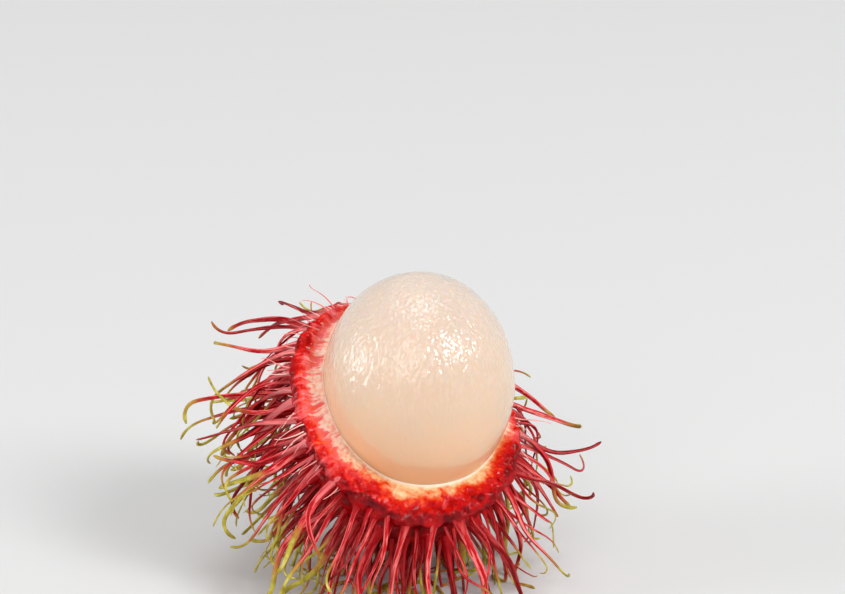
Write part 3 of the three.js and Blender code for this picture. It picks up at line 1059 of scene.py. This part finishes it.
def make_camera():
    data = bpy.data.cameras.new("camera")
    data.sensor_width = SENSOR_WIDTH
    data.lens = PIXELS_PER_MM / MM * CAMERA_DISTANCE * SENSOR_WIDTH / IMAGE_SIZE[0]
    data.clip_start = 0.01
    data.clip_end = 20
    camera = bpy.data.objects.new("camera", data)
    bpy.context.scene.collection.objects.link(camera)
    bpy.context.scene.camera = camera
    back = Vector((0, -math.cos(CAMERA_ELEVATION), math.sin(CAMERA_ELEVATION)))
    upwards = Vector((0, math.sin(CAMERA_ELEVATION), math.cos(CAMERA_ELEVATION)))
    aside = (IMAGE_SIZE[0] / 2 - ARIL_PIXEL[0]) / PIXELS_PER_MM * MM
    above = (ARIL_PIXEL[1] - IMAGE_SIZE[1] / 2) / PIXELS_PER_MM * MM
    aim = Vector(ARIL_CENTRE * MM) + Vector((aside, 0, 0)) + upwards * above
    camera.location = aim + back * CAMERA_DISTANCE
    camera.rotation_euler = back.to_track_quat("Z", "Y").to_euler()


# ---- Floor and light -------------------------------------------------------------------------

FLOOR_SIZE = 6.0
FLOOR_FADE = 1.6  # the floor is painted paler further out, where less lamp light falls, up to this distance
FLOOR_FAR, FLOOR_NEAR = 0.87, 0.73
HORIZON_STRENGTH, OVERHEAD_STRENGTH = 0.6, 0.2  # of the studio's own light
HORIZON_BAND = (0.1, 0.7)  # heights of a unit direction between which the one becomes the other

# Each light's place and size in metres, and its power in watts. All face the aril.
LIGHTS = {
    "key": ((1.06, -0.80, 0.98), 0.60, 14.5),
    "side": ((-1.50, -0.20, 0.42), 0.75, 10.0),
    "front": ((-0.45, -1.50, 1.05), 1.20, 9.5),
    "back": ((0.20, 1.30, 1.30), 2.00, 4.0),
    "top": ((0.10, 0.02, 1.60), 0.70, 7.0),
}


def make_floor():
    half = FLOOR_SIZE / 2
    corners = [(-half, -half, 0), (half, -half, 0), (half, half, 0), (-half, half, 0)]
    mesh = bpy.data.meshes.new("floor")
    mesh.from_pydata(corners, [], [(0, 1, 2, 3)])
    floor = bpy.data.objects.new("floor", mesh)
    bpy.context.scene.collection.objects.link(floor)
    nodes = Nodes("floor_paper")
    nearness = nodes.make("ShaderNodeTexGradient", gradient_type="SPHERICAL")
    nodes.join(nodes.object_place((1 / FLOOR_FADE,) * 3), nearness.inputs["Vector"])
    # painted light: the floor is painted paler far out, evening out the lamps' light
    shade = nodes.ramp(nearness.outputs["Fac"], (0.0, FLOOR_FAR), (0.9, FLOOR_NEAR))
    mesh.materials.append(nodes.finish(shade, roughness=0.9))


def make_light(name, place, size, power):
    data = bpy.data.lights.new(name, "AREA")
    data.shape = "DISK"
    data.size = size
    data.energy = power
    light = bpy.data.objects.new(name, data)
    light.location = place
    away = Vector(place) - Vector(ARIL_CENTRE * MM)
    light.rotation_euler = away.to_track_quat("Z", "Y").to_euler()
    bpy.context.scene.collection.objects.link(light)


def make_world():
    """A pale studio that is brighter round the horizon than overhead."""
    world = bpy.data.worlds.new("studio")
    world.use_nodes = True
    tree = world.node_tree
    place = tree.nodes.new("ShaderNodeTexCoord")
    parts = tree.nodes.new("ShaderNodeSeparateXYZ")
    strength = tree.nodes.new("ShaderNodeMapRange")
    strength.inputs["From Min"].default_value = HORIZON_BAND[0]
    strength.inputs["From Max"].default_value = HORIZON_BAND[1]
    strength.inputs["To Min"].default_value = HORIZON_STRENGTH
    strength.inputs["To Max"].default_value = OVERHEAD_STRENGTH
    tree.links.new(place.outputs["Generated"], parts.inputs["Vector"])
    tree.links.new(parts.outputs["Z"], strength.inputs["Value"])
    tree.links.new(strength.outputs["Result"], tree.nodes["Background"].inputs["Strength"])
    tree.nodes["Background"].inputs["Color"].default_value = (1, 1, 1, 1)
    bpy.context.scene.world = world


make_camera()
make_floor()
make_world()
for name, (place, size, power) in LIGHTS.items():
    make_light(name, place, size, power)
bpy.context.scene.view_settings.view_transform = "Standard"
